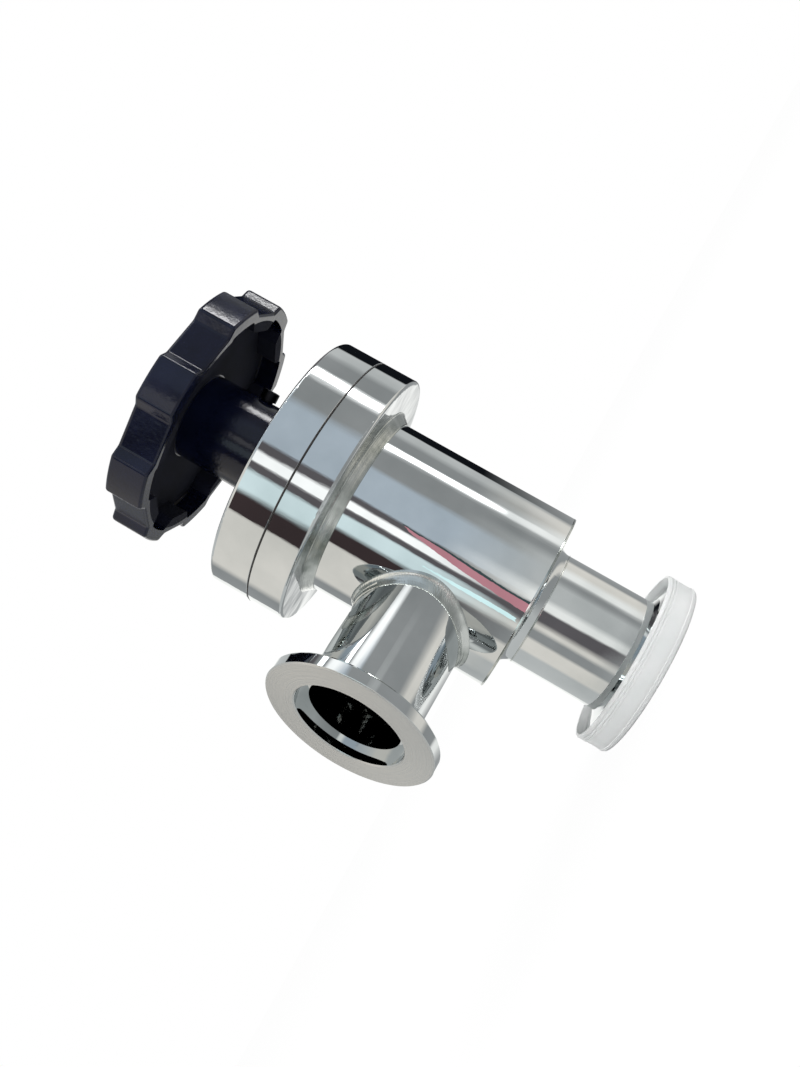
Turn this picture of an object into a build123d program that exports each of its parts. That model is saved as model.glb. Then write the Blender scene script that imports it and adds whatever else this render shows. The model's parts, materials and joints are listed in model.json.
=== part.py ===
from build123d import *
import math
import os

# Right-angle high-vacuum valve with DN 25 small-flange ports, closed. Millimetres.
# The main axis is Z, from the capped end port up to the handwheel. The side port faces -Y.
# Z = 0 is the outer face of the dust cap, which the valve stands on.

# Small-flange port, DN 25
rim_radius = 20.0
rim_thickness = 3.0
bevel_angle = 15.0
recess_radius = 13.0
recess_depth = 3.0
rim_edge = 0.3
bevel_foot = 1.5
bevel_foot_rise = 0.6

# Ports
port_reach = 50.0
side_axis_z = 52.0
side_tube_radius = 13.0
side_bore_radius = 11.0
end_tube_radius = 14.0
end_bore_radius = 12.0

# Dust cap
cap_floor = 2.0
cap_height = 7.0
cap_radius = 21.2
cap_fit = 0.1
cap_lip_radius = 19.5
cap_mouth_radius = 20.5
cap_lip_height = 0.6
cap_mouth_height = 1.4
cap_mouth_taper = 0.2

# Barrel, seat plate and body flange
barrel_radius = 22.0
barrel_bore_radius = 20.0
barrel_bottom = 31.5
barrel_top = 81.5
neck_length = 3.0
plate_top = 36.0
seat_z = 38.0
seat_inner = 12.9
seat_outer = 15.7
seat_slope = 0.6
seat_mouth = 1.2
flange_radius = 32.0
flange_bottom = 78.5
flange_top = 87.5
flange_edge = 0.8
weld_leg = 2.0

# Bonnet and its screws
bonnet_top = 97.5
screw_count = 6
screw_circle_radius = 27.0
screw_radius = 2.0
screw_head_radius = 3.5
screw_head_height = 4.0
screw_key_across = 3.0
screw_key_depth = 2.0
screw_clearance = 0.2
counterbore_radius = 3.9
counterbore_depth = 4.4
screw_end_z = 81.0
tapped_end_z = 79.8

# Bellows, its plate and the bonnet seal
top_plate_radius = 24.0
top_plate_thickness = 3.0
seal_cord = 1.0
seal_radius = 22.1
seal_groove_depth = 2.05
bellows_outer = 13.5
bellows_inner = 10.0
bellows_wall = 0.6
bellows_folds = 9
cuff_radius = 13.0
cuff_bottom = 44.6
cuff_top = 46.6

# Valve disc, its seal and its fixings
disc_radius = 16.5
disc_bottom = 38.6
disc_top = 43.6
disc_seal_radius = 14.3
disc_seal_cord = 1.3
disc_seal_gap = 0.05
washer_radius = 7.5
washer_thickness = 1.2
disc_screw_radius = 2.5
disc_screw_head_radius = 4.25
disc_screw_head_height = 3.0
disc_screw_end = 52.0
disc_screw_key_across = 3.0
disc_screw_key_depth = 1.8
disc_screw_hole_extra = 1.5

# Lift rod, guide sleeve and guide pin
rod_radius = 6.0
rod_spigot_radius = 4.0
rod_collar_radius = 9.0
head_radius = 8.0
head_bottom = 60.0
head_top = 71.0
sleeve_bore = 8.05
sleeve_radius = 9.2
sleeve_bottom = 58.0
sleeve_rim_radius = 11.6
sleeve_rim_thickness = 1.5
pin_radius = 1.5
pin_z = 63.5
pin_reach = 8.9
slot_width = 3.2
lift = 10.0

# Spindle and what carries it
spindle_radius = 5.0
neck_radius = 3.0
button_radius = 5.0
button_top = 67.9
thread_bottom = 73.0
cavity_radius = 5.3
cavity_floor = 61.5
retainer_radius = 6.5
retainer_bottom = 68.0
retainer_bore = 3.2
retainer_key_circle = 4.9
retainer_key_radius = 0.5
retainer_key_depth = 1.5
ball_radius = 2.0
ball_z = 63.0
ball_gap = 0.02
spindle_end_radius = 4.0
spindle_shoulder = 99.0
spindle_top = 118.8
nut_radius = 8.0
nut_bottom = 82.0
nut_top = 94.5
nut_rim_radius = 11.0
nut_rim_thickness = 2.0
running_gap = 0.05
fitting_gap = 0.02
wiper_radius = 7.5
wiper_bore = 5.3

# Handwheel
wheel_bottom = 116.0
wheel_top = 125.5
lobe_count = 8
lobe_phase = 13.5
lobe_radius = 31.9
hollow_radius = 30.0
hollow_wall = 4.4
lobe_half_angle = 9.5
flank_angle = 3.5
lobe_corner = 1.2
hollow_corner = 1.2
rim_wall = 3.2
web_bottom = 121.2
dish_depth = 1.4
dish_outer = 24.5
dish_slope = 1.2
boss_radius = 11.0
boss_top = 126.6
boss_edge = 1.0
hub_radius = 11.0
hub_draft = 0.3
hub_bottom = 98.5
hub_mouth_gap = 1.2
insert_radius = 7.0
insert_bottom = 99.0
insert_top = 119.0
wheel_edge = 0.9
wheel_under_edge = 0.7

# Hub screw
hub_screw_angle = 50.0
hub_screw_z = 108.5
hub_screw_radius = 1.5
hub_screw_head_radius = 2.1
hub_screw_head_inner = 11.2
hub_screw_head_outer = 13.5
hub_screw_key_across = 2.0
hub_screw_key_depth = 1.4
spindle_flat = 3.4
spindle_flat_height = 8.0


def turned(points):
    """A solid turned about Z from (radius, height) points."""
    outline = make_face(Polyline(*points, close=True))
    return revolve(Plane.XZ * outline, Axis.Z, 360)


def rod(radius, bottom, top):
    """A cylinder on the Z axis."""
    return Pos(0, 0, bottom) * Cylinder(radius, top - bottom, align=(Align.CENTER, Align.CENTER, Align.MIN))


def ring(outer, inner, bottom, top):
    """A plain ring on the Z axis."""
    return rod(outer, bottom, top) - rod(inner, bottom, top)


def circles_at(part, radius, height):
    """The part's circular edges of one radius at one height."""
    found = []
    for edge in part.edges().filter_by(GeomType.CIRCLE):
        if abs(edge.radius - radius) < 0.01 and abs(edge.arc_center.Z - height) < 0.01:
            found.append(edge)
    return found


def hexagon_socket(across, depth, face_z):
    """The solid that a hexagon key fills, reaching down from face_z."""
    corner_radius = across / math.sqrt(3)
    return Pos(0, 0, face_z - depth) * extrude(RegularPolygon(corner_radius, 6), depth)


def port_stub(tube_radius, bore_radius, length):
    """A port tube with its clamp rim. The sealing face is at Z = 0 and the tube rises."""
    neck = tube_radius + bevel_foot
    bevel_top = rim_thickness + (rim_radius - neck) * math.tan(math.radians(bevel_angle))
    stub = turned([
        (recess_radius, 0),
        (rim_radius, 0),
        (rim_radius, rim_thickness),
        (neck, bevel_top),
        (tube_radius, bevel_top + bevel_foot_rise),
        (tube_radius, length),
        (bore_radius, length),
        (bore_radius, recess_depth),
        (recess_radius, recess_depth),
    ])
    edges = circles_at(stub, rim_radius, 0) + circles_at(stub, rim_radius, rim_thickness)
    stub = chamfer(edges, rim_edge)
    return chamfer(circles_at(stub, recess_radius, 0), rim_edge)


def end_port():
    stub = port_stub(end_tube_radius, end_bore_radius, barrel_bottom - neck_length - cap_floor)
    return Pos(0, 0, cap_floor) * stub


def side_port():
    stub = Pos(0, -port_reach, side_axis_z) * Rot(-90, 0, 0) * port_stub(
        side_tube_radius, side_bore_radius, port_reach)
    return stub - rod(barrel_bore_radius, barrel_bottom, barrel_top)


def dust_cap():
    rim_top = cap_floor + rim_thickness
    inner = rim_radius + cap_fit
    lip_bottom = rim_top + (inner - cap_lip_radius) * math.tan(math.radians(bevel_angle)) + cap_fit
    cap = turned([
        (0, 0),
        (cap_radius, 0),
        (cap_radius, cap_height),
        (cap_mouth_radius, cap_height),
        (cap_mouth_radius - cap_mouth_taper, lip_bottom + cap_mouth_height),
        (cap_lip_radius, lip_bottom + cap_lip_height),
        (cap_lip_radius, lip_bottom),
        (inner, rim_top + cap_fit),
        (inner, cap_floor),
        (0, cap_floor),
    ])
    cap = fillet(circles_at(cap, cap_radius, 0), 0.8)
    return fillet(circles_at(cap, cap_radius, cap_height), 0.3)


def barrel():
    tube = ring(barrel_radius, barrel_bore_radius, barrel_bottom, barrel_top)
    tube = chamfer(circles_at(tube, barrel_radius, barrel_bottom), 0.3)
    opening = Pos(0, -port_reach / 2, side_axis_z) * Rot(90, 0, 0) * Cylinder(side_tube_radius, port_reach)
    return tube - opening


def seat_plate():
    plate = turned([
        (end_bore_radius, barrel_bottom - neck_length),
        (end_tube_radius, barrel_bottom - neck_length),
        (end_tube_radius, barrel_bottom),
        (barrel_bore_radius, barrel_bottom),
        (barrel_bore_radius, plate_top),
        (seat_outer + seat_slope, plate_top),
        (seat_outer, seat_z),
        (seat_inner, seat_z),
        (end_bore_radius, seat_z - seat_mouth),
    ])
    return fillet(circles_at(plate, end_tube_radius, barrel_bottom), neck_length - 0.2)


def screw_places():
    return PolarLocations(screw_circle_radius, screw_count, start_angle=30)


def body_flange():
    floor = flange_top - top_plate_thickness
    flange = turned([
        (barrel_radius, flange_bottom - weld_leg),
        (barrel_radius + weld_leg, flange_bottom),
        (flange_radius, flange_bottom),
        (flange_radius, flange_top),
        (top_plate_radius + running_gap, flange_top),
        (top_plate_radius + running_gap, floor),
        (barrel_bore_radius, floor),
        (barrel_bore_radius, barrel_top),
        (barrel_radius, barrel_top),
    ])
    flange -= ring(seal_radius + seal_cord + 0.1, seal_radius - seal_cord - 0.1,
                   floor - seal_groove_depth, floor)
    flange = fillet(circles_at(flange, flange_radius, flange_bottom), flange_edge)
    flange = chamfer(circles_at(flange, flange_radius, flange_top), 0.25)
    holes = [place * rod(screw_radius, tapped_end_z, flange_top) for place in screw_places()]
    return flange - holes


def bonnet():
    cover = rod(flange_radius, flange_top, bonnet_top)
    cover = fillet(circles_at(cover, flange_radius, bonnet_top), flange_edge)
    cover = chamfer(circles_at(cover, flange_radius, flange_top), 0.25)
    cover -= rod(nut_rim_radius, flange_top, flange_top + nut_rim_thickness)
    cover -= rod(nut_radius, flange_top, nut_top)
    cover -= rod(wiper_radius, nut_top, bonnet_top)
    through = rod(screw_radius + screw_clearance, flange_top, bonnet_top)
    through += rod(counterbore_radius, bonnet_top - counterbore_depth, bonnet_top)
    return cover - [place * through for place in screw_places()]


def bonnet_screws():
    head_bottom_z = bonnet_top - counterbore_depth
    head_top_z = head_bottom_z + screw_head_height
    screw = rod(screw_head_radius, head_bottom_z, head_top_z)
    screw = fillet(circles_at(screw, screw_head_radius, head_top_z), 0.3)
    screw += rod(screw_radius - fitting_gap, screw_end_z, head_bottom_z)
    screw -= hexagon_socket(screw_key_across, screw_key_depth, head_top_z)
    return Compound(children=[place * screw for place in screw_places()])


def bonnet_seal():
    height = flange_top - top_plate_thickness - seal_cord
    return Pos(0, 0, height) * Torus(seal_radius, seal_cord)


def bellows_top_plate():
    bottom = flange_top - top_plate_thickness
    plate = ring(top_plate_radius, sleeve_radius + fitting_gap, bottom, flange_top)
    return plate - rod(sleeve_rim_radius + fitting_gap, flange_top - sleeve_rim_thickness, flange_top)


def guide_sleeve():
    sleeve = ring(sleeve_radius, sleeve_bore, sleeve_bottom, flange_top)
    sleeve += ring(sleeve_rim_radius, sleeve_bore, flange_top - sleeve_rim_thickness, flange_top)
    slot_bottom = pin_z - pin_radius - 0.5
    slot_height = lift + 2 * pin_radius + 1.0
    slot = Box(4 * sleeve_radius, slot_width, slot_height)
    return sleeve - Pos(0, 0, slot_bottom + slot_height / 2) * slot


def spindle_nut():
    nut = rod(nut_radius - fitting_gap, nut_bottom, nut_top)
    nut += rod(nut_rim_radius - fitting_gap, flange_top, flange_top + nut_rim_thickness)
    nut -= rod(spindle_radius + running_gap, nut_bottom, nut_top)
    mouths = circles_at(nut, spindle_radius + running_gap, nut_bottom)
    mouths += circles_at(nut, spindle_radius + running_gap, nut_top)
    return chamfer(mouths, 0.5)


def spindle_wiper():
    wiper = ring(wiper_radius - fitting_gap, wiper_bore, nut_top, bonnet_top)
    return chamfer(circles_at(wiper, wiper_bore, bonnet_top), 0.6)


def lift_rod():
    stem = turned([
        (0, disc_bottom),
        (rod_spigot_radius, disc_bottom),
        (rod_spigot_radius, disc_top),
        (rod_collar_radius, disc_top),
        (rod_collar_radius, cuff_bottom),
        (rod_radius, cuff_bottom),
        (rod_radius, head_bottom - 1.5),
        (head_radius - 0.5, head_bottom),
        (head_radius, head_bottom + 0.5),
        (head_radius, head_top),
        (retainer_radius, head_top),
        (retainer_radius, retainer_bottom),
        (cavity_radius, retainer_bottom),
        (cavity_radius, cavity_floor),
        (0, cavity_floor),
    ])
    stem -= Pos(0, 0, ball_z) * Sphere(ball_radius + fitting_gap)
    stem -= rod(disc_screw_radius, disc_bottom, disc_screw_end + disc_screw_hole_extra)
    half_hole = Cylinder(pin_radius, head_radius - cavity_radius + 1, rotation=(0, 90, 0))
    reach = (head_radius + cavity_radius) / 2
    return stem - Pos(reach, 0, pin_z) * half_hole - Pos(-reach, 0, pin_z) * half_hole


def guide_pins():
    length = pin_reach - cavity_radius - 0.1
    pin = Cylinder(pin_radius - fitting_gap, length, rotation=(0, 90, 0))
    middle = cavity_radius + 0.1 + length / 2
    return Compound(children=[Pos(middle, 0, pin_z) * pin, Pos(-middle, 0, pin_z) * pin])


def bellows():
    bottom = cuff_top
    top = flange_top - top_plate_thickness
    pitch = (top - bottom) / bellows_folds
    outer_side = []
    inner_side = []
    for fold in range(bellows_folds):
        height = bottom + fold * pitch
        outer_side += [(bellows_inner + bellows_wall, height), (bellows_outer, height + pitch / 2)]
        inner_side += [(bellows_inner, height), (bellows_outer - bellows_wall, height + pitch / 2)]
    outer_side.append((bellows_inner + bellows_wall, top))
    inner_side.append((bellows_inner, top))
    return turned(outer_side + inner_side[::-1])


def bellows_cuff():
    cuff = ring(cuff_radius, rod_radius + fitting_gap, cuff_bottom, cuff_top)
    return chamfer(circles_at(cuff, cuff_radius, cuff_bottom), 0.4)


def valve_disc():
    disc = ring(disc_radius, rod_spigot_radius + fitting_gap, disc_bottom, disc_top)
    groove_inner = disc_seal_radius - disc_seal_cord
    groove_outer = disc_seal_radius + disc_seal_cord
    groove_top = seat_z + disc_seal_gap + 2 * disc_seal_cord
    disc -= ring(groove_outer, groove_inner, disc_bottom, groove_top)
    disc = chamfer(circles_at(disc, disc_radius, disc_top), 1.2)
    return fillet(circles_at(disc, disc_radius, disc_bottom), 0.4)


def disc_seal():
    return Pos(0, 0, seat_z + disc_seal_gap + disc_seal_cord) * Torus(disc_seal_radius, disc_seal_cord)


def disc_washer():
    washer = ring(washer_radius, disc_screw_radius + 0.1, disc_bottom - washer_thickness, disc_bottom)
    return chamfer(circles_at(washer, washer_radius, disc_bottom - washer_thickness), 0.3)


def disc_screw():
    head_top_z = disc_bottom - washer_thickness
    head_bottom_z = head_top_z - disc_screw_head_height
    screw = rod(disc_screw_head_radius, head_bottom_z, head_top_z)
    screw = fillet(circles_at(screw, disc_screw_head_radius, head_bottom_z), 0.4)
    screw += rod(disc_screw_radius - fitting_gap, head_top_z, disc_screw_end)
    return screw - hexagon_socket(disc_screw_key_across, disc_screw_key_depth,
                                  head_bottom_z + disc_screw_key_depth)


def thrust_ball():
    return Pos(0, 0, ball_z) * Sphere(ball_radius)


def spindle_retainer():
    retainer = ring(retainer_radius - fitting_gap, retainer_bore, retainer_bottom, head_top)
    key_hole = rod(retainer_key_radius, head_top - retainer_key_depth, head_top)
    return retainer - [place * key_hole for place in PolarLocations(retainer_key_circle, 2)]


def spindle():
    tip = ball_z + ball_radius + ball_gap
    shaft = turned([
        (0, tip),
        (button_radius - 0.5, tip),
        (button_radius, tip + 0.5),
        (button_radius, button_top),
        (neck_radius, button_top),
        (neck_radius, thread_bottom),
        (spindle_radius - 0.8, thread_bottom),
        (spindle_radius, thread_bottom + 0.8),
        (spindle_radius, spindle_shoulder),
        (spindle_end_radius, spindle_shoulder),
        (spindle_end_radius, spindle_top - 0.5),
        (spindle_end_radius - 0.5, spindle_top),
        (0, spindle_top),
    ])
    flat = Box(2 * spindle_radius, 2 * spindle_radius, spindle_flat_height)
    flat = Pos(spindle_flat + spindle_radius, 0, hub_screw_z) * flat
    return shaft - Rot(0, 0, hub_screw_angle) * flat


def radial_rod(radius, start, end):
    """A cylinder that lies along the hub screw's radius."""
    along = Cylinder(radius, end - start, rotation=(0, 90, 0), align=(Align.CENTER, Align.CENTER, Align.MIN))
    return Rot(0, 0, hub_screw_angle) * Pos(start, 0, hub_screw_z) * along


def hub_insert():
    insert = ring(insert_radius, spindle_end_radius + fitting_gap, insert_bottom, insert_top)
    return insert - radial_rod(hub_screw_radius, 0, hub_radius)


def hub_screw():
    head_height = hub_screw_head_outer - hub_screw_head_inner
    screw = rod(hub_screw_head_radius, 0, head_height)
    screw = fillet(circles_at(screw, hub_screw_head_radius, head_height), 0.3)
    screw += rod(hub_screw_radius - fitting_gap, spindle_flat - hub_screw_head_inner, 0)
    screw -= hexagon_socket(hub_screw_key_across, hub_screw_key_depth, head_height)
    place = Rot(0, 0, hub_screw_angle) * Pos(hub_screw_head_inner, 0, hub_screw_z) * Rot(0, 90, 0)
    return place * screw


def at_angle(radius, degrees):
    turn = math.radians(degrees)
    return (radius * math.cos(turn), radius * math.sin(turn))


def lobed_outline(tip, floor, tip_corner, floor_corner):
    """The handwheel's outline: round lobes at the tip radius, finger hollows between them."""
    step = 360 / lobe_count
    edges = []
    for lobe in range(lobe_count):
        middle = lobe_phase + lobe * step
        rise = middle - lobe_half_angle
        fall = middle + lobe_half_angle
        foot = fall + flank_angle
        next_foot = middle + step - lobe_half_angle - flank_angle
        edges += [
            ThreePointArc(at_angle(tip, rise), at_angle(tip, middle), at_angle(tip, fall)),
            Line(at_angle(tip, fall), at_angle(floor, foot)),
            Line(at_angle(floor, foot), at_angle(floor, next_foot)),
            Line(at_angle(floor, next_foot), at_angle(tip, next_foot + flank_angle)),
        ]
    outline = make_face(edges)
    middle_radius = (tip + floor) / 2
    tips = [v for v in outline.vertices() if math.hypot(v.X, v.Y) > middle_radius]
    outline = fillet(tips, tip_corner)
    feet = [v for v in outline.vertices() if math.hypot(v.X, v.Y) < floor + 0.05]
    return fillet(feet, floor_corner)


def handwheel():
    outer = lobed_outline(lobe_radius, hollow_radius, lobe_corner, hollow_corner)
    inner = lobed_outline(lobe_radius - rim_wall, hollow_radius - hollow_wall, hollow_corner, lobe_corner)
    wheel = Pos(0, 0, wheel_bottom) * extrude(outer, wheel_top - wheel_bottom)
    wheel = fillet(wheel.edges().group_by(Axis.Z)[-1], wheel_edge)
    wheel = fillet(wheel.edges().group_by(Axis.Z)[0], wheel_under_edge)
    wheel -= Pos(0, 0, wheel_bottom) * extrude(inner, web_bottom - wheel_bottom)
    dish_floor = wheel_top - dish_depth
    wheel -= turned([
        (0, dish_floor),
        (dish_outer - dish_slope, dish_floor),
        (dish_outer, wheel_top),
        (0, wheel_top),
    ])
    hub = turned([
        (0, hub_bottom),
        (hub_radius - 0.5, hub_bottom),
        (hub_radius, hub_bottom + 0.5),
        (hub_radius - hub_draft, web_bottom),
        (boss_radius, dish_floor),
        (boss_radius, boss_top - boss_edge),
        (boss_radius - boss_edge, boss_top),
        (0, boss_top),
    ])
    wheel += hub
    wheel -= rod(insert_radius, insert_bottom, insert_top)
    wheel -= rod(spindle_end_radius + hub_mouth_gap, hub_bottom, insert_bottom)
    return wheel - radial_rod(hub_screw_radius, 0, hub_radius + 1)


parts = {
    "barrel": barrel,
    "body_flange": body_flange,
    "seat_plate": seat_plate,
    "side_port": side_port,
    "end_port": end_port,
    "dust_cap": dust_cap,
    "bonnet": bonnet,
    "bonnet_screws": bonnet_screws,
    "bonnet_seal": bonnet_seal,
    "bellows_top_plate": bellows_top_plate,
    "guide_sleeve": guide_sleeve,
    "spindle_nut": spindle_nut,
    "spindle_wiper": spindle_wiper,
    "lift_rod": lift_rod,
    "guide_pins": guide_pins,
    "bellows": bellows,
    "bellows_cuff": bellows_cuff,
    "valve_disc": valve_disc,
    "disc_seal": disc_seal,
    "disc_washer": disc_washer,
    "disc_screw": disc_screw,
    "thrust_ball": thrust_ball,
    "spindle_retainer": spindle_retainer,
    "spindle": spindle,
    "hub_insert": hub_insert,
    "hub_screw": hub_screw,
    "handwheel": handwheel,
}

os.makedirs("parts", exist_ok=True)
for name, make in parts.items():
    solid = make()
    export_step(solid, f"parts/{name}.step")
    print(name, round(solid.volume, 1))
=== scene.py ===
import json
import math
import bmesh
import bpy
from mathutils import Matrix, Vector


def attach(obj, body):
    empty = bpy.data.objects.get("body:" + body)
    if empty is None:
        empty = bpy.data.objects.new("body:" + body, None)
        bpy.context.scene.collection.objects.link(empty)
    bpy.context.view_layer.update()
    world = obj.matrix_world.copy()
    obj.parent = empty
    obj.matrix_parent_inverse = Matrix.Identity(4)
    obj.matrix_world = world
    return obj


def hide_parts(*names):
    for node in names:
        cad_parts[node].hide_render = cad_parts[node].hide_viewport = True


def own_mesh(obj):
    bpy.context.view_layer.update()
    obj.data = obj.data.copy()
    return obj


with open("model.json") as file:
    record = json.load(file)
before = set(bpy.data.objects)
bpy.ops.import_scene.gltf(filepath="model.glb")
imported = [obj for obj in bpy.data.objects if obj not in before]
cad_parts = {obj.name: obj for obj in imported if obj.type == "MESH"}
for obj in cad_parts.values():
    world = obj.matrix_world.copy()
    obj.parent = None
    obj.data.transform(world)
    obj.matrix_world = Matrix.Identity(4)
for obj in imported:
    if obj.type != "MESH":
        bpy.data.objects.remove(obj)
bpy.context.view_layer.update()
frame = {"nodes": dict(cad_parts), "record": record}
nodes = frame["nodes"]
mm = 0.001


# Small helpers

def linear(hexColour):
    # sRGB hex to the linear colour that the shaders take
    parts = [int(hexColour[i:i + 2], 16) / 255 for i in (1, 3, 5)]
    return tuple(c / 12.92 if c <= 0.04045 else ((c + 0.055) / 1.055) ** 2.4 for c in parts) + (1.0,)


def addNode(tree, kind, settings, links=None):
    # settings are socket values or node properties, links are earlier outputs by socket
    node = tree.nodes.new(kind)
    for key, value in settings.items():
        if key == "stops":
            ramp = node.color_ramp
            while len(ramp.elements) < len(value):
                ramp.elements.new(0.5)
            for element, (place, colour) in zip(ramp.elements, value):
                element.position = place
                element.color = linear(colour)
        elif isinstance(key, int) or key in node.inputs:
            node.inputs[key].default_value = linear(value) if isinstance(value, str) else value
        else:
            setattr(node, key, value)
    for key, output in (links or {}).items():
        tree.links.new(output, node.inputs[key])
    return node


def startMaterial(name, bsdfSettings):
    material = bpy.data.materials.new(name)
    material.use_nodes = True
    tree = material.node_tree
    tree.nodes.clear()
    bsdf = addNode(tree, "ShaderNodeBsdfPrincipled", bsdfSettings)
    addNode(tree, "ShaderNodeOutputMaterial", {}, {"Surface": bsdf.outputs[0]})
    place = addNode(tree, "ShaderNodeTexCoord", {})
    return material, tree, bsdf, place.outputs["Object"]


def finishPiece(name, bm, body, material, smoothAngle=35):
    bmesh.ops.remove_doubles(bm, verts=bm.verts, dist=1e-7)
    bmesh.ops.recalc_face_normals(bm, faces=bm.faces)
    mesh = bpy.data.meshes.new(name)
    bm.to_mesh(mesh)
    bm.free()
    mesh.materials.append(material)
    mesh.shade_smooth()
    mesh.set_sharp_from_angle(angle=math.radians(smoothAngle))
    piece = bpy.data.objects.new(name, mesh)
    bpy.context.scene.collection.objects.link(piece)
    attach(piece, body)
    return piece


def spinOutline(bm, points, steps, closed=True):
    # turns an outline of (radius, height) in millimetres about Z
    verts = [bm.verts.new((r * mm, 0, z * mm)) for r, z in points]
    pairs = list(zip(verts, verts[1:] + verts[:1] if closed else verts[1:]))
    edges = [bm.edges.new(pair) for pair in pairs]
    bmesh.ops.spin(bm, geom=verts + edges, axis=(0, 0, 1), cent=(0, 0, 0), angle=2 * math.pi,
                   steps=steps, use_merge=True, use_duplicate=False)


# Camera, as the photograph was taken
cameraSetup = {
    "place": (0.20235, -0.14185, 0.04052),
    "right": (0.21161, 0.45599, -0.86446),
    "up": (0.53688, 0.68486, 0.49267),
    "back": (0.81669, -0.56837, -0.09989),
    "lens": 35.69,
    "sensor": 36,
    "nearest": 0.01,
}
camera = bpy.data.objects.new("camera", bpy.data.cameras.new("camera"))
bpy.context.scene.collection.objects.link(camera)
turn = Matrix([cameraSetup["right"], cameraSetup["up"], cameraSetup["back"]]).transposed()
camera.matrix_world = Matrix.Translation(cameraSetup["place"]) @ turn.to_4x4()
camera.data.lens = cameraSetup["lens"]
camera.data.sensor_width = cameraSetup["sensor"]
camera.data.clip_start = cameraSetup["nearest"]
bpy.context.scene.camera = camera
bpy.context.scene.view_settings.view_transform = "Standard"
print("camera set")


# Studio: white to the camera and to matt surfaces, the painted cards of a room to gloss
paints = {
    "white": "#ffffff", "pale": "#e4e4e2", "cream": "#d0ccc6", "paleBlue": "#cddde0", "silver": "#b0b2b2",
    "blueGrey": "#a4aeb8", "grey": "#888a8b", "slate": "#585558", "brown": "#382f30", "black": "#0e1014",
}
# flat cards round the valve, drawn in the world: where each starts and ends in a turn about Z from -X, and
# its paint; the paint blends across a gap; edges and paints lie near those of the bands in the photo
eyeLevelCards = [
    (0.00, 0.05, "grey"), (0.08, 0.245, "cream"), (0.25, 0.295, "brown"), (0.31, 0.35, "paleBlue"),
    (0.355, 0.37, "slate"), (0.375, 0.40, "white"), (0.405, 0.42, "slate"), (0.425, 0.53, "blueGrey"),
    (0.55, 0.62, "grey"), (0.628, 0.652, "white"), (0.66, 0.70, "grey"), (0.73, 0.77, "silver"),
    (0.777, 0.865, "black"), (0.88, 1.00, "pale"),
]
deskLevelCards = [
    (0.00, 0.14, "silver"), (0.16, 0.235, "cream"), (0.25, 0.29, "grey"), (0.31, 0.32, "cream"),
    (0.35, 0.405, "slate"), (0.415, 0.44, "pale"), (0.47, 0.56, "silver"), (0.59, 0.615, "grey"),
    (0.635, 0.66, "pale"), (0.70, 0.745, "cream"), (0.77, 0.86, "grey"), (0.93, 0.97, "pale"),
]
upperCards = [
    (0.00, 0.15, "silver"), (0.20, 0.35, "cream"), (0.45, 0.585, "blueGrey"), (0.60, 0.612, "white"),
    (0.625, 0.66, "grey"), (0.68, 0.87, "slate"), (0.89, 1.00, "silver"),
]
lowerCards = [
    (0.00, 0.35, "silver"), (0.45, 0.61, "grey"), (0.65, 0.70, "cream"), (0.75, 0.85, "grey"),
    (0.87, 0.89, "pale"), (0.92, 1.00, "grey"),
]
studio = {"dome": 0.85, "room": 1.6, "floorRadius": 3.0, "floorSteps": 64, "floorShow": 0.95}
# sine of the elevation where each other level begins and where it has taken over
levels = {"high": (0.42, 0.52), "low": (-0.12, -0.18), "desk": (0.06, -0.04)}
# the white card by 0.64 is a window: far brighter at its middle, out of sight below eye level
window = {"middle": 0.640, "edge": 0.013, "core": 0.004, "foot": 0.02, "full": 0.16, "extra": 26.0}
world = bpy.data.worlds.new("studio")
bpy.context.scene.world = world
world.use_nodes = True
tree = world.node_tree
tree.nodes.clear()
outward = addNode(tree, "ShaderNodeTexCoord", {}).outputs["Generated"]
split = addNode(tree, "ShaderNodeSeparateXYZ", {}, {0: outward})
angle = addNode(tree, "ShaderNodeMath", {"operation": "ARCTAN2"},
                {0: split.outputs["Y"], 1: split.outputs["X"]})
share = addNode(tree, "ShaderNodeMapRange", {"From Min": -math.pi, "From Max": math.pi},
                {"Value": angle.outputs[0]})
ramps = []
for levelCards in (eyeLevelCards, upperCards, lowerCards, deskLevelCards):
    stops = [(side, paints[paint]) for start, end, paint in levelCards for side in (start, end)]
    ramps.append(addNode(tree, "ShaderNodeValToRGB", {"stops": stops}, {0: share.outputs[0]}))
high = addNode(tree, "ShaderNodeMapRange", {"From Min": levels["high"][0], "From Max": levels["high"][1]},
               {"Value": split.outputs["Z"]})
low = addNode(tree, "ShaderNodeMapRange", {"From Min": levels["low"][0], "From Max": levels["low"][1]},
              {"Value": split.outputs["Z"]})
desk = addNode(tree, "ShaderNodeMapRange", {"From Min": levels["desk"][0], "From Max": levels["desk"][1]},
               {"Value": split.outputs["Z"]})
eye = addNode(tree, "ShaderNodeMix", {"data_type": "RGBA"},
              {0: desk.outputs[0], 6: ramps[0].outputs[0], 7: ramps[3].outputs[0]})
upper = addNode(tree, "ShaderNodeMix", {"data_type": "RGBA"},
                {0: high.outputs[0], 6: eye.outputs[2], 7: ramps[1].outputs[0]})
whole = addNode(tree, "ShaderNodeMix", {"data_type": "RGBA"},
                {0: low.outputs[0], 6: upper.outputs[2], 7: ramps[2].outputs[0]})
offset = addNode(tree, "ShaderNodeMath", {"operation": "SUBTRACT", 1: window["middle"]},
                 {0: share.outputs[0]})
distance = addNode(tree, "ShaderNodeMath", {"operation": "ABSOLUTE"}, {0: offset.outputs[0]})
across = addNode(tree, "ShaderNodeMapRange", {"From Min": window["edge"], "From Max": window["core"]},
                 {"Value": distance.outputs[0]})
upright = addNode(tree, "ShaderNodeMapRange", {"From Min": window["foot"], "From Max": window["full"]},
                  {"Value": split.outputs["Z"]})
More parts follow.
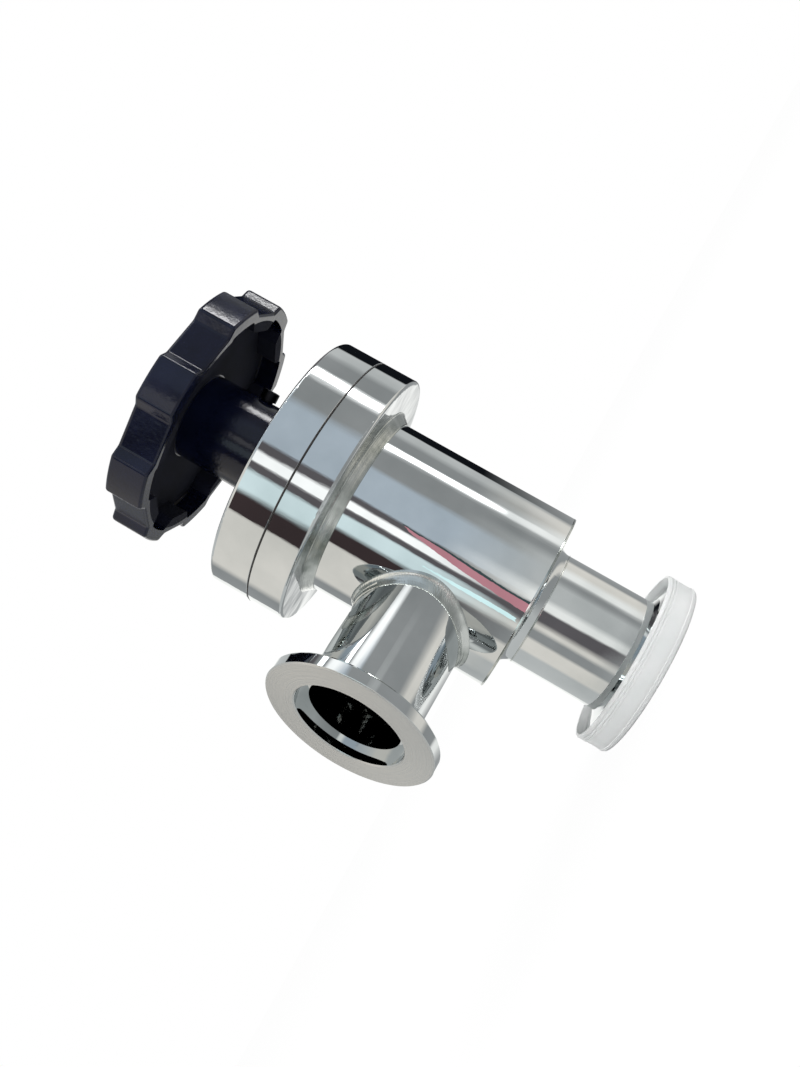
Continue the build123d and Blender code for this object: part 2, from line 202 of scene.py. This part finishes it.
inWindow = addNode(tree, "ShaderNodeMath", {"operation": "MULTIPLY"},
                   {0: across.outputs[0], 1: upright.outputs[0]})
power = addNode(tree, "ShaderNodeMath",
                {"operation": "MULTIPLY_ADD", 1: window["extra"], 2: studio["room"]},
                {0: inWindow.outputs[0]})
roomLight = addNode(tree, "ShaderNodeBackground", {},
                    {"Color": whole.outputs[2], "Strength": power.outputs[0]})
dome = addNode(tree, "ShaderNodeBackground", {"Color": "#ffffff", "Strength": studio["dome"]})
white = addNode(tree, "ShaderNodeBackground", {"Color": "#ffffff", "Strength": 1.0})
ray = addNode(tree, "ShaderNodeLightPath", {})
glossy = addNode(tree, "ShaderNodeMixShader", {},
                 {0: ray.outputs["Is Glossy Ray"], 1: dome.outputs[0], 2: roomLight.outputs[0]})
seen = addNode(tree, "ShaderNodeMath", {"operation": "MAXIMUM"},
               {0: ray.outputs["Is Camera Ray"], 1: ray.outputs["Is Transmission Ray"]})
backdrop = addNode(tree, "ShaderNodeMixShader", {},
                   {0: seen.outputs[0], 1: glossy.outputs[0], 2: white.outputs[0]})
addNode(tree, "ShaderNodeOutputWorld", {}, {"Surface": backdrop.outputs[0]})

# coloured cards that lean in the room, which the barrel shows as narrow wedges
cards = {  # colour, distance in metres, azimuth and elevation of each corner
    "pinkCard": ("#b8808a", 2.0, [
        (-48, -1.9), (-36.1, -1.9), (-35.5, 0), (-31, 4.4), (-29, 7.5), (-32, 7), (-38, 4.4), (-43, 2),
        (-46, 0)]),
    "slateCard": ("#3c4a4c", 2.1, [
        (-36.1, -1.9), (-33.5, -1.9), (-33, 0), (-29, 4.4), (-28.2, 7.5), (-29, 7.5), (-31, 4.4),
        (-35.5, 0)]),
    "paleCard": ("#d8f6f8", 2.2, [(-62.5, -1), (-57.5, -1), (-58, 2), (-59.3, 5.5), (-60.7, 5.5), (-62, 2)]),
}
for name, (colour, distance, corners) in cards.items():
    cardMaterial = bpy.data.materials.new(name)
    cardMaterial.use_nodes = True
    tree = cardMaterial.node_tree
    tree.nodes.clear()
    glow = addNode(tree, "ShaderNodeEmission", {"Color": colour, "Strength": studio["room"]})
    addNode(tree, "ShaderNodeOutputMaterial", {}, {"Surface": glow.outputs[0]})
    bm = bmesh.new()
    for turned, raised in corners:
        azimuth, height = math.radians(turned), math.radians(raised)
        bm.verts.new((distance * math.cos(azimuth), distance * math.sin(azimuth),
                      distance * math.tan(height)))
    bm.faces.new(bm.verts[:])
    cardMesh = bpy.data.meshes.new(name)
    bm.to_mesh(cardMesh)
    bm.free()
    cardMesh.materials.append(cardMaterial)
    card = bpy.data.objects.new(name, cardMesh)
    bpy.context.scene.collection.objects.link(card)
    card.visible_camera = card.visible_diffuse = card.visible_shadow = card.visible_transmission = False

floorMaterial = bpy.data.materials.new("whitePaperFloor")
floorMaterial.use_nodes = True
tree = floorMaterial.node_tree
tree.nodes.clear()
paper = addNode(tree, "ShaderNodeBsdfDiffuse", {"Color": "#f4f4f4"})
glow = addNode(tree, "ShaderNodeEmission", {"Color": "#ffffff", "Strength": 1.0})
ray = addNode(tree, "ShaderNodeLightPath", {})
eye = addNode(tree, "ShaderNodeMath", {"operation": "MAXIMUM"},
              {0: ray.outputs["Is Camera Ray"], 1: ray.outputs["Is Transmission Ray"]})
share = addNode(tree, "ShaderNodeMath", {"operation": "MULTIPLY", 1: studio["floorShow"]},
                {0: eye.outputs[0]})
both = addNode(tree, "ShaderNodeMixShader", {},
               {0: share.outputs[0], 1: paper.outputs[0], 2: glow.outputs[0]})
addNode(tree, "ShaderNodeOutputMaterial", {}, {"Surface": both.outputs[0]})
bm = bmesh.new()
bmesh.ops.create_circle(bm, cap_ends=True, segments=studio["floorSteps"],
                         radius=studio["floorRadius"])
floorMesh = bpy.data.meshes.new("floor")
bm.to_mesh(floorMesh)
bm.free()
floorMesh.materials.append(floorMaterial)
floor = bpy.data.objects.new("floor", floorMesh)
bpy.context.scene.collection.objects.link(floor)
floor.visible_glossy = False  # gloss shows the room's lower cards instead

lamps = [  # name, place, size in metres, watts
    ("softboxTop", (0.1, 0.5, 0.9), 0.6, 6.0),
    ("softboxFront", (0.7, -0.5, 0.5), 0.5, 3.0),
]
lampAim = Vector((0, 0, 0.06))
for name, place, size, watts in lamps:
    lamp = bpy.data.objects.new(name, bpy.data.lights.new(name, "AREA"))
    lamp.data.energy = watts
    lamp.data.size = size
    lamp.location = place
    aim = lampAim - lamp.location
    lamp.rotation_euler = aim.to_track_quat("-Z", "Y").to_euler()
    bpy.context.scene.collection.objects.link(lamp)
    lamp.visible_glossy = False
print("studio set")


# Polished stainless steel: mirror bright, a little wavy from the buffing wheel, with faint hand marks
def polishedSteel(name, stretch, faceFrom=None):
    material, tree, bsdf, place = startMaterial(name, {"Metallic": 1.0})
    long = addNode(tree, "ShaderNodeMapping", {"Scale": stretch}, {"Vector": place})
    wave = addNode(tree, "ShaderNodeTexNoise", {"Scale": 90, "Detail": 1.5}, {"Vector": long.outputs[0]})
    # buffing lines 1.4 mm apart, with finer ones between them down to 0.2 mm
    lines = addNode(tree, "ShaderNodeTexNoise", {"Scale": 700, "Detail": 3}, {"Vector": long.outputs[0]})
    smudge = addNode(tree, "ShaderNodeTexNoise", {"Scale": 60, "Detail": 4}, {"Vector": place})
    rough = addNode(tree, "ShaderNodeMapRange",
                    {"From Min": 0.35, "From Max": 0.75, "To Min": 0.006, "To Max": 0.028},
                    {"Value": smudge.outputs[0]})
    tint = addNode(tree, "ShaderNodeValToRGB", {"stops": [(0.35, "#d0d3d3"), (0.7, "#bcc0c0")]},
                   {0: smudge.outputs[0]})
    wavy = addNode(tree, "ShaderNodeBump", {"Strength": 0.22, "Distance": 0.001},
                   {"Height": wave.outputs[0]})
    fine = addNode(tree, "ShaderNodeBump", {"Strength": 0.035, "Distance": 0.0002},
                   {"Height": lines.outputs[0], "Normal": wavy.outputs[0]})
    tree.links.new(rough.outputs[0], bsdf.inputs["Roughness"])
    tree.links.new(tint.outputs[0], bsdf.inputs["Base Color"])
    tree.links.new(fine.outputs[0], bsdf.inputs["Normal"])
    if faceFrom is None:
        return material
    # the sealing face is only turned: matt, with rings from the tool about the port's axis
    split = addNode(tree, "ShaderNodeSeparateXYZ", {}, {0: place})
    face = addNode(tree, "ShaderNodeMath", {"operation": "LESS_THAN", 1: faceFrom["y"]},
                   {0: split.outputs["Y"]})
    centred = addNode(tree, "ShaderNodeMapping", {"Location": (0, 0, -faceFrom["z"]), "Scale": (1, 0, 1)},
                      {"Vector": place})
    radius = addNode(tree, "ShaderNodeVectorMath", {"operation": "LENGTH"}, {0: centred.outputs[0]})
    rings = addNode(tree, "ShaderNodeTexNoise", {"noise_dimensions": "1D", "Scale": 3500, "Detail": 2},
                    {"W": radius.outputs["Value"]})
    turned = addNode(tree, "ShaderNodeBump", {"Strength": 0.5, "Distance": 0.0002},
                     {"Height": rings.outputs[0]})
    roughMix = addNode(tree, "ShaderNodeMix", {3: faceFrom["roughness"]},
                       {0: face.outputs[0], 2: rough.outputs[0]})
    tintMix = addNode(tree, "ShaderNodeMix", {"data_type": "RGBA", 7: "#c9c9c6"},
                      {0: face.outputs[0], 6: tint.outputs[0]})
    normalMix = addNode(tree, "ShaderNodeMix", {"data_type": "VECTOR"},
                        {0: face.outputs[0], 4: fine.outputs[0], 5: turned.outputs[0]})
    tree.links.new(roughMix.outputs[0], bsdf.inputs["Roughness"])
    tree.links.new(tintMix.outputs[2], bsdf.inputs["Base Color"])
    tree.links.new(normalMix.outputs[1], bsdf.inputs["Normal"])
    return material


steelAlongZ = polishedSteel("stainlessBuffed", (1, 1, 0.25))
# plane of the side port's face, height of its axis, and how matt the face is
sealingFace = {"y": -0.04975, "z": 0.052, "roughness": 0.38}
steelAlongY = polishedSteel("stainlessBuffedPort", (1, 0.25, 1), sealingFace)


# Turned stainless steel: satin, with tool rings at each 0.25 mm of feed
def turnedMetal(name, colours, roughness):
    material, tree, bsdf, place = startMaterial(name, {"Metallic": 1.0})
    split = addNode(tree, "ShaderNodeSeparateXYZ", {}, {0: place})
    flat = addNode(tree, "ShaderNodeMapping", {"Scale": (1, 1, 0)}, {"Vector": place})
    radius = addNode(tree, "ShaderNodeVectorMath", {"operation": "LENGTH"}, {0: flat.outputs[0]})
    feed = addNode(tree, "ShaderNodeMath", {"operation": "ADD"},
                   {0: radius.outputs["Value"], 1: split.outputs["Z"]})
    rings = addNode(tree, "ShaderNodeTexNoise", {"noise_dimensions": "1D", "Scale": 4000, "Detail": 2},
                    {"W": feed.outputs[0]})
    patches = addNode(tree, "ShaderNodeTexNoise", {"Scale": 120, "Detail": 3}, {"Vector": place})
    tint = addNode(tree, "ShaderNodeValToRGB", {"stops": [(0.35, colours[0]), (0.7, colours[1])]},
                   {0: patches.outputs[0]})
    rough = addNode(tree, "ShaderNodeMapRange", {"To Min": roughness - 0.06, "To Max": roughness + 0.1},
                    {"Value": patches.outputs[0]})
    cut = addNode(tree, "ShaderNodeBump", {"Strength": 0.3, "Distance": 0.0002},
                  {"Height": rings.outputs[0]})
    tree.links.new(tint.outputs[0], bsdf.inputs["Base Color"])
    tree.links.new(rough.outputs[0], bsdf.inputs["Roughness"])
    tree.links.new(cut.outputs[0], bsdf.inputs["Normal"])
    return material


turnedSteel = turnedMetal("stainlessTurned", ("#c6c4c1", "#b3b0ac"), 0.25)
groundSteel = turnedMetal("bearingSteelGround", ("#d4d5d8", "#c6c7ca"), 0.12)
turnedBrass = turnedMetal("brassTurned", ("#d9b765", "#c09a4a"), 0.24)
weldedSteel = turnedMetal("stainlessWelded", ("#dadcd8", "#7e857f"), 0.11)
blackOxide = turnedMetal("steelBlackOxide", ("#26262a", "#1a1a1d"), 0.36)


# Compression moulded phenolic: blue-black with a faint orange peel, left dull inside the rim's hollow
hollow = {"radius": 0.028, "hub": 0.01102, "height": 0.1215, "roughness": 0.95}
material, tree, bsdf, place = startMaterial(
    "phenolicMoulded", {"IOR": 1.6, "Metallic": 0.0, "Specular IOR Level": 0.25})
blacks = addNode(tree, "ShaderNodeTexNoise", {"Scale": 150, "Detail": 3}, {"Vector": place})
tint = addNode(tree, "ShaderNodeValToRGB", {"stops": [(0.3, "#050817"), (0.75, "#0a0f24")]},
               {0: blacks.outputs[0]})
gloss = addNode(tree, "ShaderNodeMapRange", {"To Min": 0.12, "To Max": 0.24}, {"Value": blacks.outputs[0]})
split = addNode(tree, "ShaderNodeSeparateXYZ", {}, {0: place})
flat = addNode(tree, "ShaderNodeMapping", {"Scale": (1, 1, 0)}, {"Vector": place})
radius = addNode(tree, "ShaderNodeVectorMath", {"operation": "LENGTH"}, {0: flat.outputs[0]})
within = addNode(tree, "ShaderNodeMath", {"operation": "LESS_THAN", 1: hollow["radius"]},
                 {0: radius.outputs["Value"]})
beyondHub = addNode(tree, "ShaderNodeMath", {"operation": "GREATER_THAN", 1: hollow["hub"]},
                    {0: radius.outputs["Value"]})
under = addNode(tree, "ShaderNodeMath", {"operation": "LESS_THAN", 1: hollow["height"]},
                {0: split.outputs["Z"]})
both = addNode(tree, "ShaderNodeMath", {"operation": "MULTIPLY"},
               {0: within.outputs[0], 1: under.outputs[0]})
inside = addNode(tree, "ShaderNodeMath", {"operation": "MULTIPLY"},
                 {0: both.outputs[0], 1: beyondHub.outputs[0]})
rough = addNode(tree, "ShaderNodeMix", {3: hollow["roughness"]},
                {0: inside.outputs[0], 2: gloss.outputs[0]})
peel = addNode(tree, "ShaderNodeTexNoise", {"Scale": 900, "Detail": 2}, {"Vector": place})
skin = addNode(tree, "ShaderNodeBump", {"Strength": 0.12, "Distance": 0.0003}, {"Height": peel.outputs[0]})
tree.links.new(tint.outputs[0], bsdf.inputs["Base Color"])
tree.links.new(rough.outputs[0], bsdf.inputs["Roughness"])
tree.links.new(skin.outputs[0], bsdf.inputs["Normal"])
phenolic = material

# Moulded low-density polyethylene: milky, lets the rim show through as a grey band
material, tree, bsdf, place = startMaterial("polyethyleneMilky", {"IOR": 1.51, "Transmission Weight": 0.45})
cloud = addNode(tree, "ShaderNodeTexNoise", {"Scale": 200, "Detail": 3}, {"Vector": place})
tint = addNode(tree, "ShaderNodeValToRGB", {"stops": [(0.3, "#fcfdfd"), (0.7, "#f4f7f6")]},
               {0: cloud.outputs[0]})
gloss = addNode(tree, "ShaderNodeMapRange", {"To Min": 0.3, "To Max": 0.42}, {"Value": cloud.outputs[0]})
grain = addNode(tree, "ShaderNodeTexNoise", {"Scale": 1500, "Detail": 2}, {"Vector": place})
skin = addNode(tree, "ShaderNodeBump", {"Strength": 0.15, "Distance": 0.0002}, {"Height": grain.outputs[0]})
tree.links.new(tint.outputs[0], bsdf.inputs["Base Color"])
tree.links.new(gloss.outputs[0], bsdf.inputs["Roughness"])
tree.links.new(skin.outputs[0], bsdf.inputs["Normal"])
milkyPlastic = material

# Moulded fluoro rubber: matt black-brown with a fine bloom
material, tree, bsdf, place = startMaterial("rubberMoulded", {"IOR": 1.5})
bloom = addNode(tree, "ShaderNodeTexNoise", {"Scale": 300, "Detail": 4}, {"Vector": place})
tint = addNode(tree, "ShaderNodeValToRGB", {"stops": [(0.3, "#1b1716"), (0.75, "#2c2725")]},
               {0: bloom.outputs[0]})
gloss = addNode(tree, "ShaderNodeMapRange", {"To Min": 0.45, "To Max": 0.65}, {"Value": bloom.outputs[0]})
skin = addNode(tree, "ShaderNodeBump", {"Strength": 0.2, "Distance": 0.0002}, {"Height": bloom.outputs[0]})
tree.links.new(tint.outputs[0], bsdf.inputs["Base Color"])
tree.links.new(gloss.outputs[0], bsdf.inputs["Roughness"])
tree.links.new(skin.outputs[0], bsdf.inputs["Normal"])
rubber = material

finishes = {
    "polished_steel": steelAlongZ,
    "plain_steel": turnedSteel,
    "bearing_steel": groundSteel,
    "black_oxide_steel": blackOxide,
    "turned_brass": turnedBrass,
    "black_phenolic": phenolic,
    "milky_polyethylene": milkyPlastic,
    "seal_rubber": rubber,
}
for row in frame["record"]["subparts"]:
    for holder in nodes[row["node"]].material_slots:
        holder.material = finishes[row["material_slot"]]
for holder in nodes["side_port"].material_slots:
    holder.material = steelAlongY
print("materials made")


# Bellows: round folds welded between the cuff and the top plate
bellows = {"folds": 9, "perFold": 10, "outer": 13.5, "inner": 10.0, "wall": 0.5, "bottom": 46.6, "top": 84.5,
           "keep": 0.736, "steps": 72}
count = bellows["folds"] * bellows["perFold"]
middle = (bellows["outer"] + bellows["inner"]) / 2
swing = (bellows["outer"] - bellows["inner"]) / 2
outside = []
for i in range(count + 1):
    height = bellows["bottom"] + (bellows["top"] - bellows["bottom"]) * i / count
    outside.append((middle - swing * math.cos(2 * math.pi * i / bellows["perFold"]), height))
inside = [(r - bellows["wall"], z) for r, z in outside]
bm = bmesh.new()
spinOutline(bm, outside + inside[::-1], bellows["steps"])
bellowsPiece = finishPiece("bellowsFolds", bm, "valve_body", turnedSteel, 60)
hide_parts("bellows")
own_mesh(bellowsPiece)

# Spindle with its 2 mm pitch thread, a flat for the hub screw and the turned button below
spindle = {
    "crest": 5.0, "root": 4.1, "pitch": 2.0, "bottom": 73.0, "top": 99.0, "runIn": 0.6, "stepsPerTurn": 36,
    "flat": 3.4, "flatAngle": 50, "flatFrom": 104.45, "flatTo": 112.55, "shaftSteps": 48,
    "shaft": [
        (0, 65.02), (4.5, 65.02), (5.0, 65.52), (5.0, 67.9), (3.0, 67.9), (3.0, 73.0), (4.3, 73.0),
        (4.3, 74.0), (4.15, 75.0), (4.15, 98.0), (4.9, 98.1), (4.9, 99.0), (4.0, 99.0), (4.0, 104.4),
        (4.0, 104.5), (4.0, 112.5), (4.0, 112.6), (4.0, 118.3), (3.5, 118.8), (0, 118.8)],
}
bm = bmesh.new()
turns = int((spindle["top"] - spindle["bottom"]) / spindle["pitch"]) - 1
ridge = [(spindle["root"], 0), (spindle["crest"], 0.75), (spindle["crest"], 1.0), (spindle["root"], 1.75),
         (spindle["root"], spindle["pitch"])]
verts = [bm.verts.new((r * mm, 0, (spindle["bottom"] + spindle["runIn"] + z) * mm)) for r, z in ridge]
edges = [bm.edges.new(pair) for pair in zip(verts, verts[1:])]
bmesh.ops.spin(bm, geom=verts + edges, axis=(0, 0, 1), cent=(0, 0, 0), angle=2 * math.pi * turns,
               steps=spindle["stepsPerTurn"] * turns,
               dvec=(0, 0, spindle["pitch"] * mm / spindle["stepsPerTurn"]),
               use_merge=False, use_duplicate=False)
spinOutline(bm, spindle["shaft"], spindle["shaftSteps"], closed=False)
flatAngle = math.radians(spindle["flatAngle"])
across = Vector((math.cos(flatAngle), math.sin(flatAngle), 0))
for vert in bm.verts:
    beyond = vert.co.dot(across) - spindle["flat"] * mm
    if spindle["flatFrom"] * mm < vert.co.z < spindle["flatTo"] * mm and beyond > 0:
        vert.co -= across * beyond
spindlePiece = finishPiece("spindleThreaded", bm, "handwheel_and_spindle", turnedSteel)
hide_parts("spindle")

# Dust cap: fine lip lines near its thin mouth, rounded shoulders, a shallow step round its outer face
dustCap = {"steps": 128, "outline": [
    (0, 0.25), (16.5, 0.25), (17.0, 0), (20.3, 0), (20.85, 0.2), (21.2, 0.8), (21.2, 1.2), (21.08, 1.3),
    (21.08, 4.7), (21.2, 4.8), (21.2, 5.2), (21.0, 5.3), (21.0, 5.45), (21.2, 5.55), (21.2, 5.9),
    (21.0, 6.0), (21.0, 6.15), (21.2, 6.25), (21.2, 6.7), (20.95, 7.0), (20.5, 7.0), (20.3, 6.66),
    (19.5, 5.86), (19.5, 5.26), (20.1, 5.1), (20.1, 2.0), (0, 2.0)]}
bm = bmesh.new()
spinOutline(bm, dustCap["outline"], dustCap["steps"], closed=False)
capPiece = finishPiece("dustCapMoulded", bm, "valve_body", milkyPlastic, 50)
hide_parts("dust_cap")

# Weld where the side port meets the barrel: a hollow collar with the lines of its passes, on a saddle curve
# its outline is radius about the port's axis and way out from the barrel
saddle = {"barrel": 22.0, "axisZ": 52.0, "steps": 180, "outline": [
    (13.0, 2.0), (13.2, 1.9), (13.15, 1.6), (13.4, 1.4), (13.35, 1.05), (13.7, 0.85), (13.75, 0.55),
    (14.2, 0.4), (14.6, 0.1), (14.5, -1.0), (12.8, -1.0), (12.8, 1.9)]}
bm = bmesh.new()
verts = [bm.verts.new((r * mm, -out * mm, 0)) for r, out in saddle["outline"]]
edges = [bm.edges.new(pair) for pair in zip(verts, verts[1:] + verts[:1])]
bmesh.ops.spin(bm, geom=verts + edges, axis=(0, 1, 0), cent=(0, 0, 0), angle=2 * math.pi,
               steps=saddle["steps"], use_merge=True, use_duplicate=False)
for vert in bm.verts:
    vert.co.y -= math.sqrt((saddle["barrel"] * mm) ** 2 - vert.co.x ** 2)
    vert.co.z += saddle["axisZ"] * mm
finishPiece("saddleWeld", bm, "valve_body", weldedSteel, 60)

# Ring welds: passes over the cone under the flange, thin lines at the barrel's foot and the end port's neck
ringWelds = {
    "flangeWeld": [(21.9, 76.0), (22.2, 76.1), (22.25, 76.4), (22.6, 76.7), (22.75, 77.05), (23.1, 77.3),
                   (23.25, 77.65), (23.6, 77.9), (23.85, 78.3), (24.2, 78.4), (24.2, 78.7), (21.9, 78.7)],
    "barrelFootWeld": [(21.6, 31.3), (22.0, 31.35), (22.05, 31.7), (21.95, 31.95), (21.6, 32.0)],
    "neckWeld": [(13.9, 28.3), (14.15, 28.4), (14.17, 28.6), (13.9, 28.7)],
}
ringSteps = 128
for name, outline in ringWelds.items():
    bm = bmesh.new()
    spinOutline(bm, outline, ringSteps)
    finishPiece(name, bm, "valve_body", weldedSteel, 60)

# Painted shade: a dark ring deep in the chamfers of bonnet and body flange stands for the shadow in the gap
# of their joint
splitShadeRing = {"radius": 31.83, "height": 87.5, "size": 0.17, "corners": 8, "steps": 160}
corners = []
for i in range(splitShadeRing["corners"]):
    around = 2 * math.pi * i / splitShadeRing["corners"]
    corners.append((splitShadeRing["radius"] + splitShadeRing["size"] * math.cos(around),
                    splitShadeRing["height"] + splitShadeRing["size"] * math.sin(around)))
bm = bmesh.new()
spinOutline(bm, corners, splitShadeRing["steps"])
# the dark rubber on this ring is painted shade, not a seal
finishPiece("flangeSplitShade", bm, "valve_body", rubber, 60)
print("pieces made")
